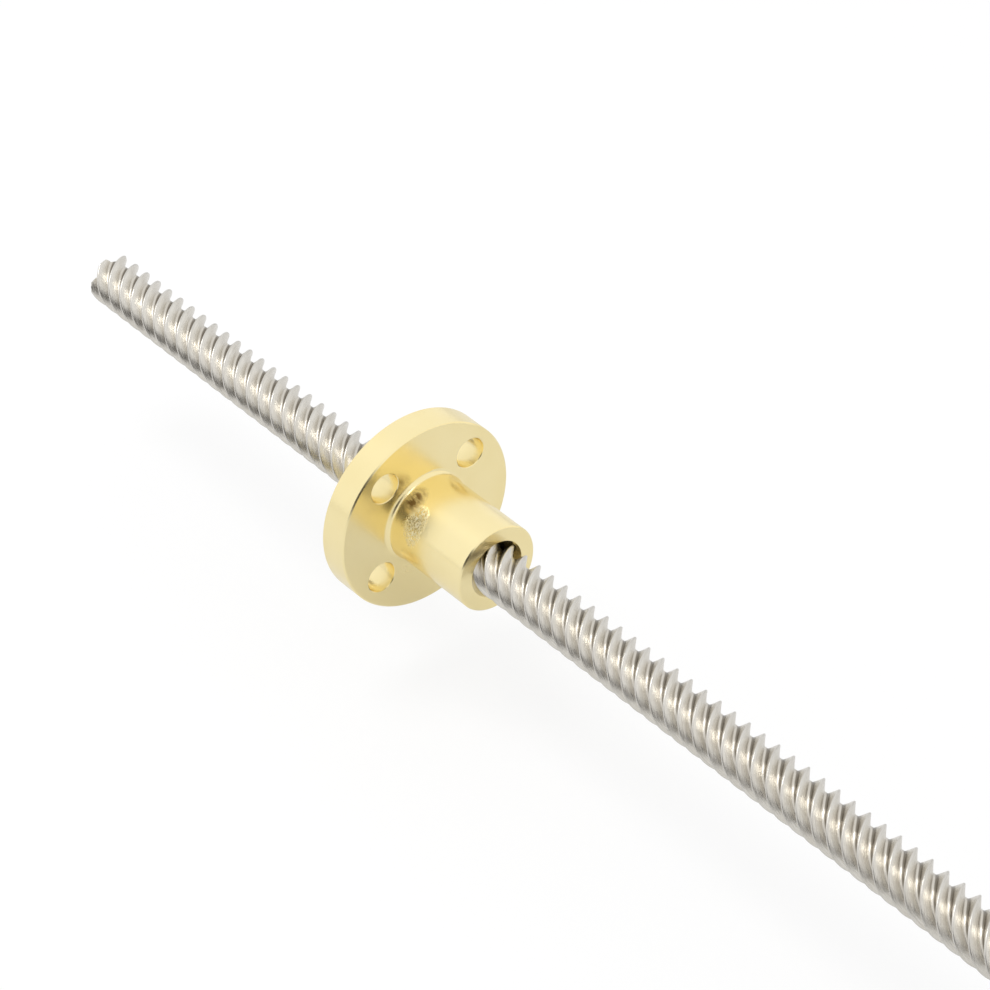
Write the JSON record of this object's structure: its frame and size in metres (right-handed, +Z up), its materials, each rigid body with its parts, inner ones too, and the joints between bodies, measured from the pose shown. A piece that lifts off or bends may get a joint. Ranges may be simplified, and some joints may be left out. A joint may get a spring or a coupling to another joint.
{
  "type": "lead screw stepper motor",
  "caption": "Square-bodied stepper motor whose rotor shaft is a long multi-start lead screw, with a flanged brass nut that travels along it as the screw turns.",
  "frame": {"origin": "centre of the motor's mounting face, on the screw axis", "axes": "+X along the lead screw towards its free end, +Z up with the motor lying on one flat side, the connector faces -Y"},
  "size_m": [0.248, 0.0458, 0.0424],
  "materials": {
    "screw_steel": "rolled, slightly scuffed",
    "nut_brass": "turned",
    "bell_aluminium": "die cast, machined faces",
    "stack_steel": "blackened electrical steel laminations",
    "insulator_plastic": "moulded",
    "winding_copper": "enamelled copper wire",
    "terminal_brass": "tinned",
    "rotor_steel": "ground laminations",
    "magnet_nickel": "nickel plated",
    "spacer_steel": "turned",
    "spring_steel": "spring steel",
    "bearing_steel": "ground",
    "cage_plastic": "moulded",
    "shield_steel": "pressed",
    "fastener_steel": "black oxide",
    "board_green": "coated board",
    "housing_plastic": "moulded",
    "pin_tin": "tinned"
  },
  "bodies": {
    "housing": {"front_end_bell": "bell_aluminium", "rear_end_bell": "bell_aluminium", "stator_laminations": "stack_steel", "front_winding_insulator": "insulator_plastic", "rear_winding_insulator": "insulator_plastic", "phase_a_coils": "winding_copper", "phase_b_coils": "winding_copper", "winding_terminals": "terminal_brass", "wave_washer": "spring_steel", "assembly_screws": "fastener_steel", "terminal_board": "board_green", "connector_housing": "housing_plastic", "connector_pins": "pin_tin", "front_bearing_outer_ring": "bearing_steel", "front_bearing_shields": "shield_steel", "rear_bearing_outer_ring": "bearing_steel", "rear_bearing_shields": "shield_steel"},
    "rotor": {"lead_screw": "screw_steel", "rotor_cup_front": "rotor_steel", "rotor_cup_rear": "rotor_steel", "rotor_magnet": "magnet_nickel", "front_spacer": "spacer_steel", "rear_spacer": "spacer_steel", "front_bearing_inner_ring": "bearing_steel", "rear_bearing_inner_ring": "bearing_steel"},
    "nut": {"brass_nut": "nut_brass"},
    "front_balls": {"front_bearing_balls": "bearing_steel", "front_bearing_cage": "cage_plastic"},
    "rear_balls": {"rear_bearing_balls": "bearing_steel", "rear_bearing_cage": "cage_plastic"}
  },
  "joints": [
    {"name": "rotor_spin", "type": "hinge", "parent": "housing", "child": "rotor", "pos_m": [0, 0, 0], "axis": [1, 0, 0], "range_deg": [-1746, 4155]},
    {"name": "nut_travel", "type": "slide", "parent": "housing", "child": "nut", "axis": [1, 0, 0], "range_m": [-0.1242, 0.0522]},
    {"name": "front_ball_spin", "type": "hinge", "parent": "housing", "child": "front_balls", "pos_m": [-0.0045, 0, 0], "axis": [1, 0, 0], "range_deg": [-625, 1485]},
    {"name": "rear_ball_spin", "type": "hinge", "parent": "housing", "child": "rear_balls", "pos_m": [-0.0425, 0, 0], "axis": [1, 0, 0], "range_deg": [-625, 1485]}
  ],
  "couplings": [
    {"joint": "nut_travel", "follows": "rotor_spin", "m_per_rad": -0.0017125},
    {"joint": "front_ball_spin", "follows": "rotor_spin", "ratio": 0.35714},
    {"joint": "rear_ball_spin", "follows": "rotor_spin", "ratio": 0.35714}
  ]
}
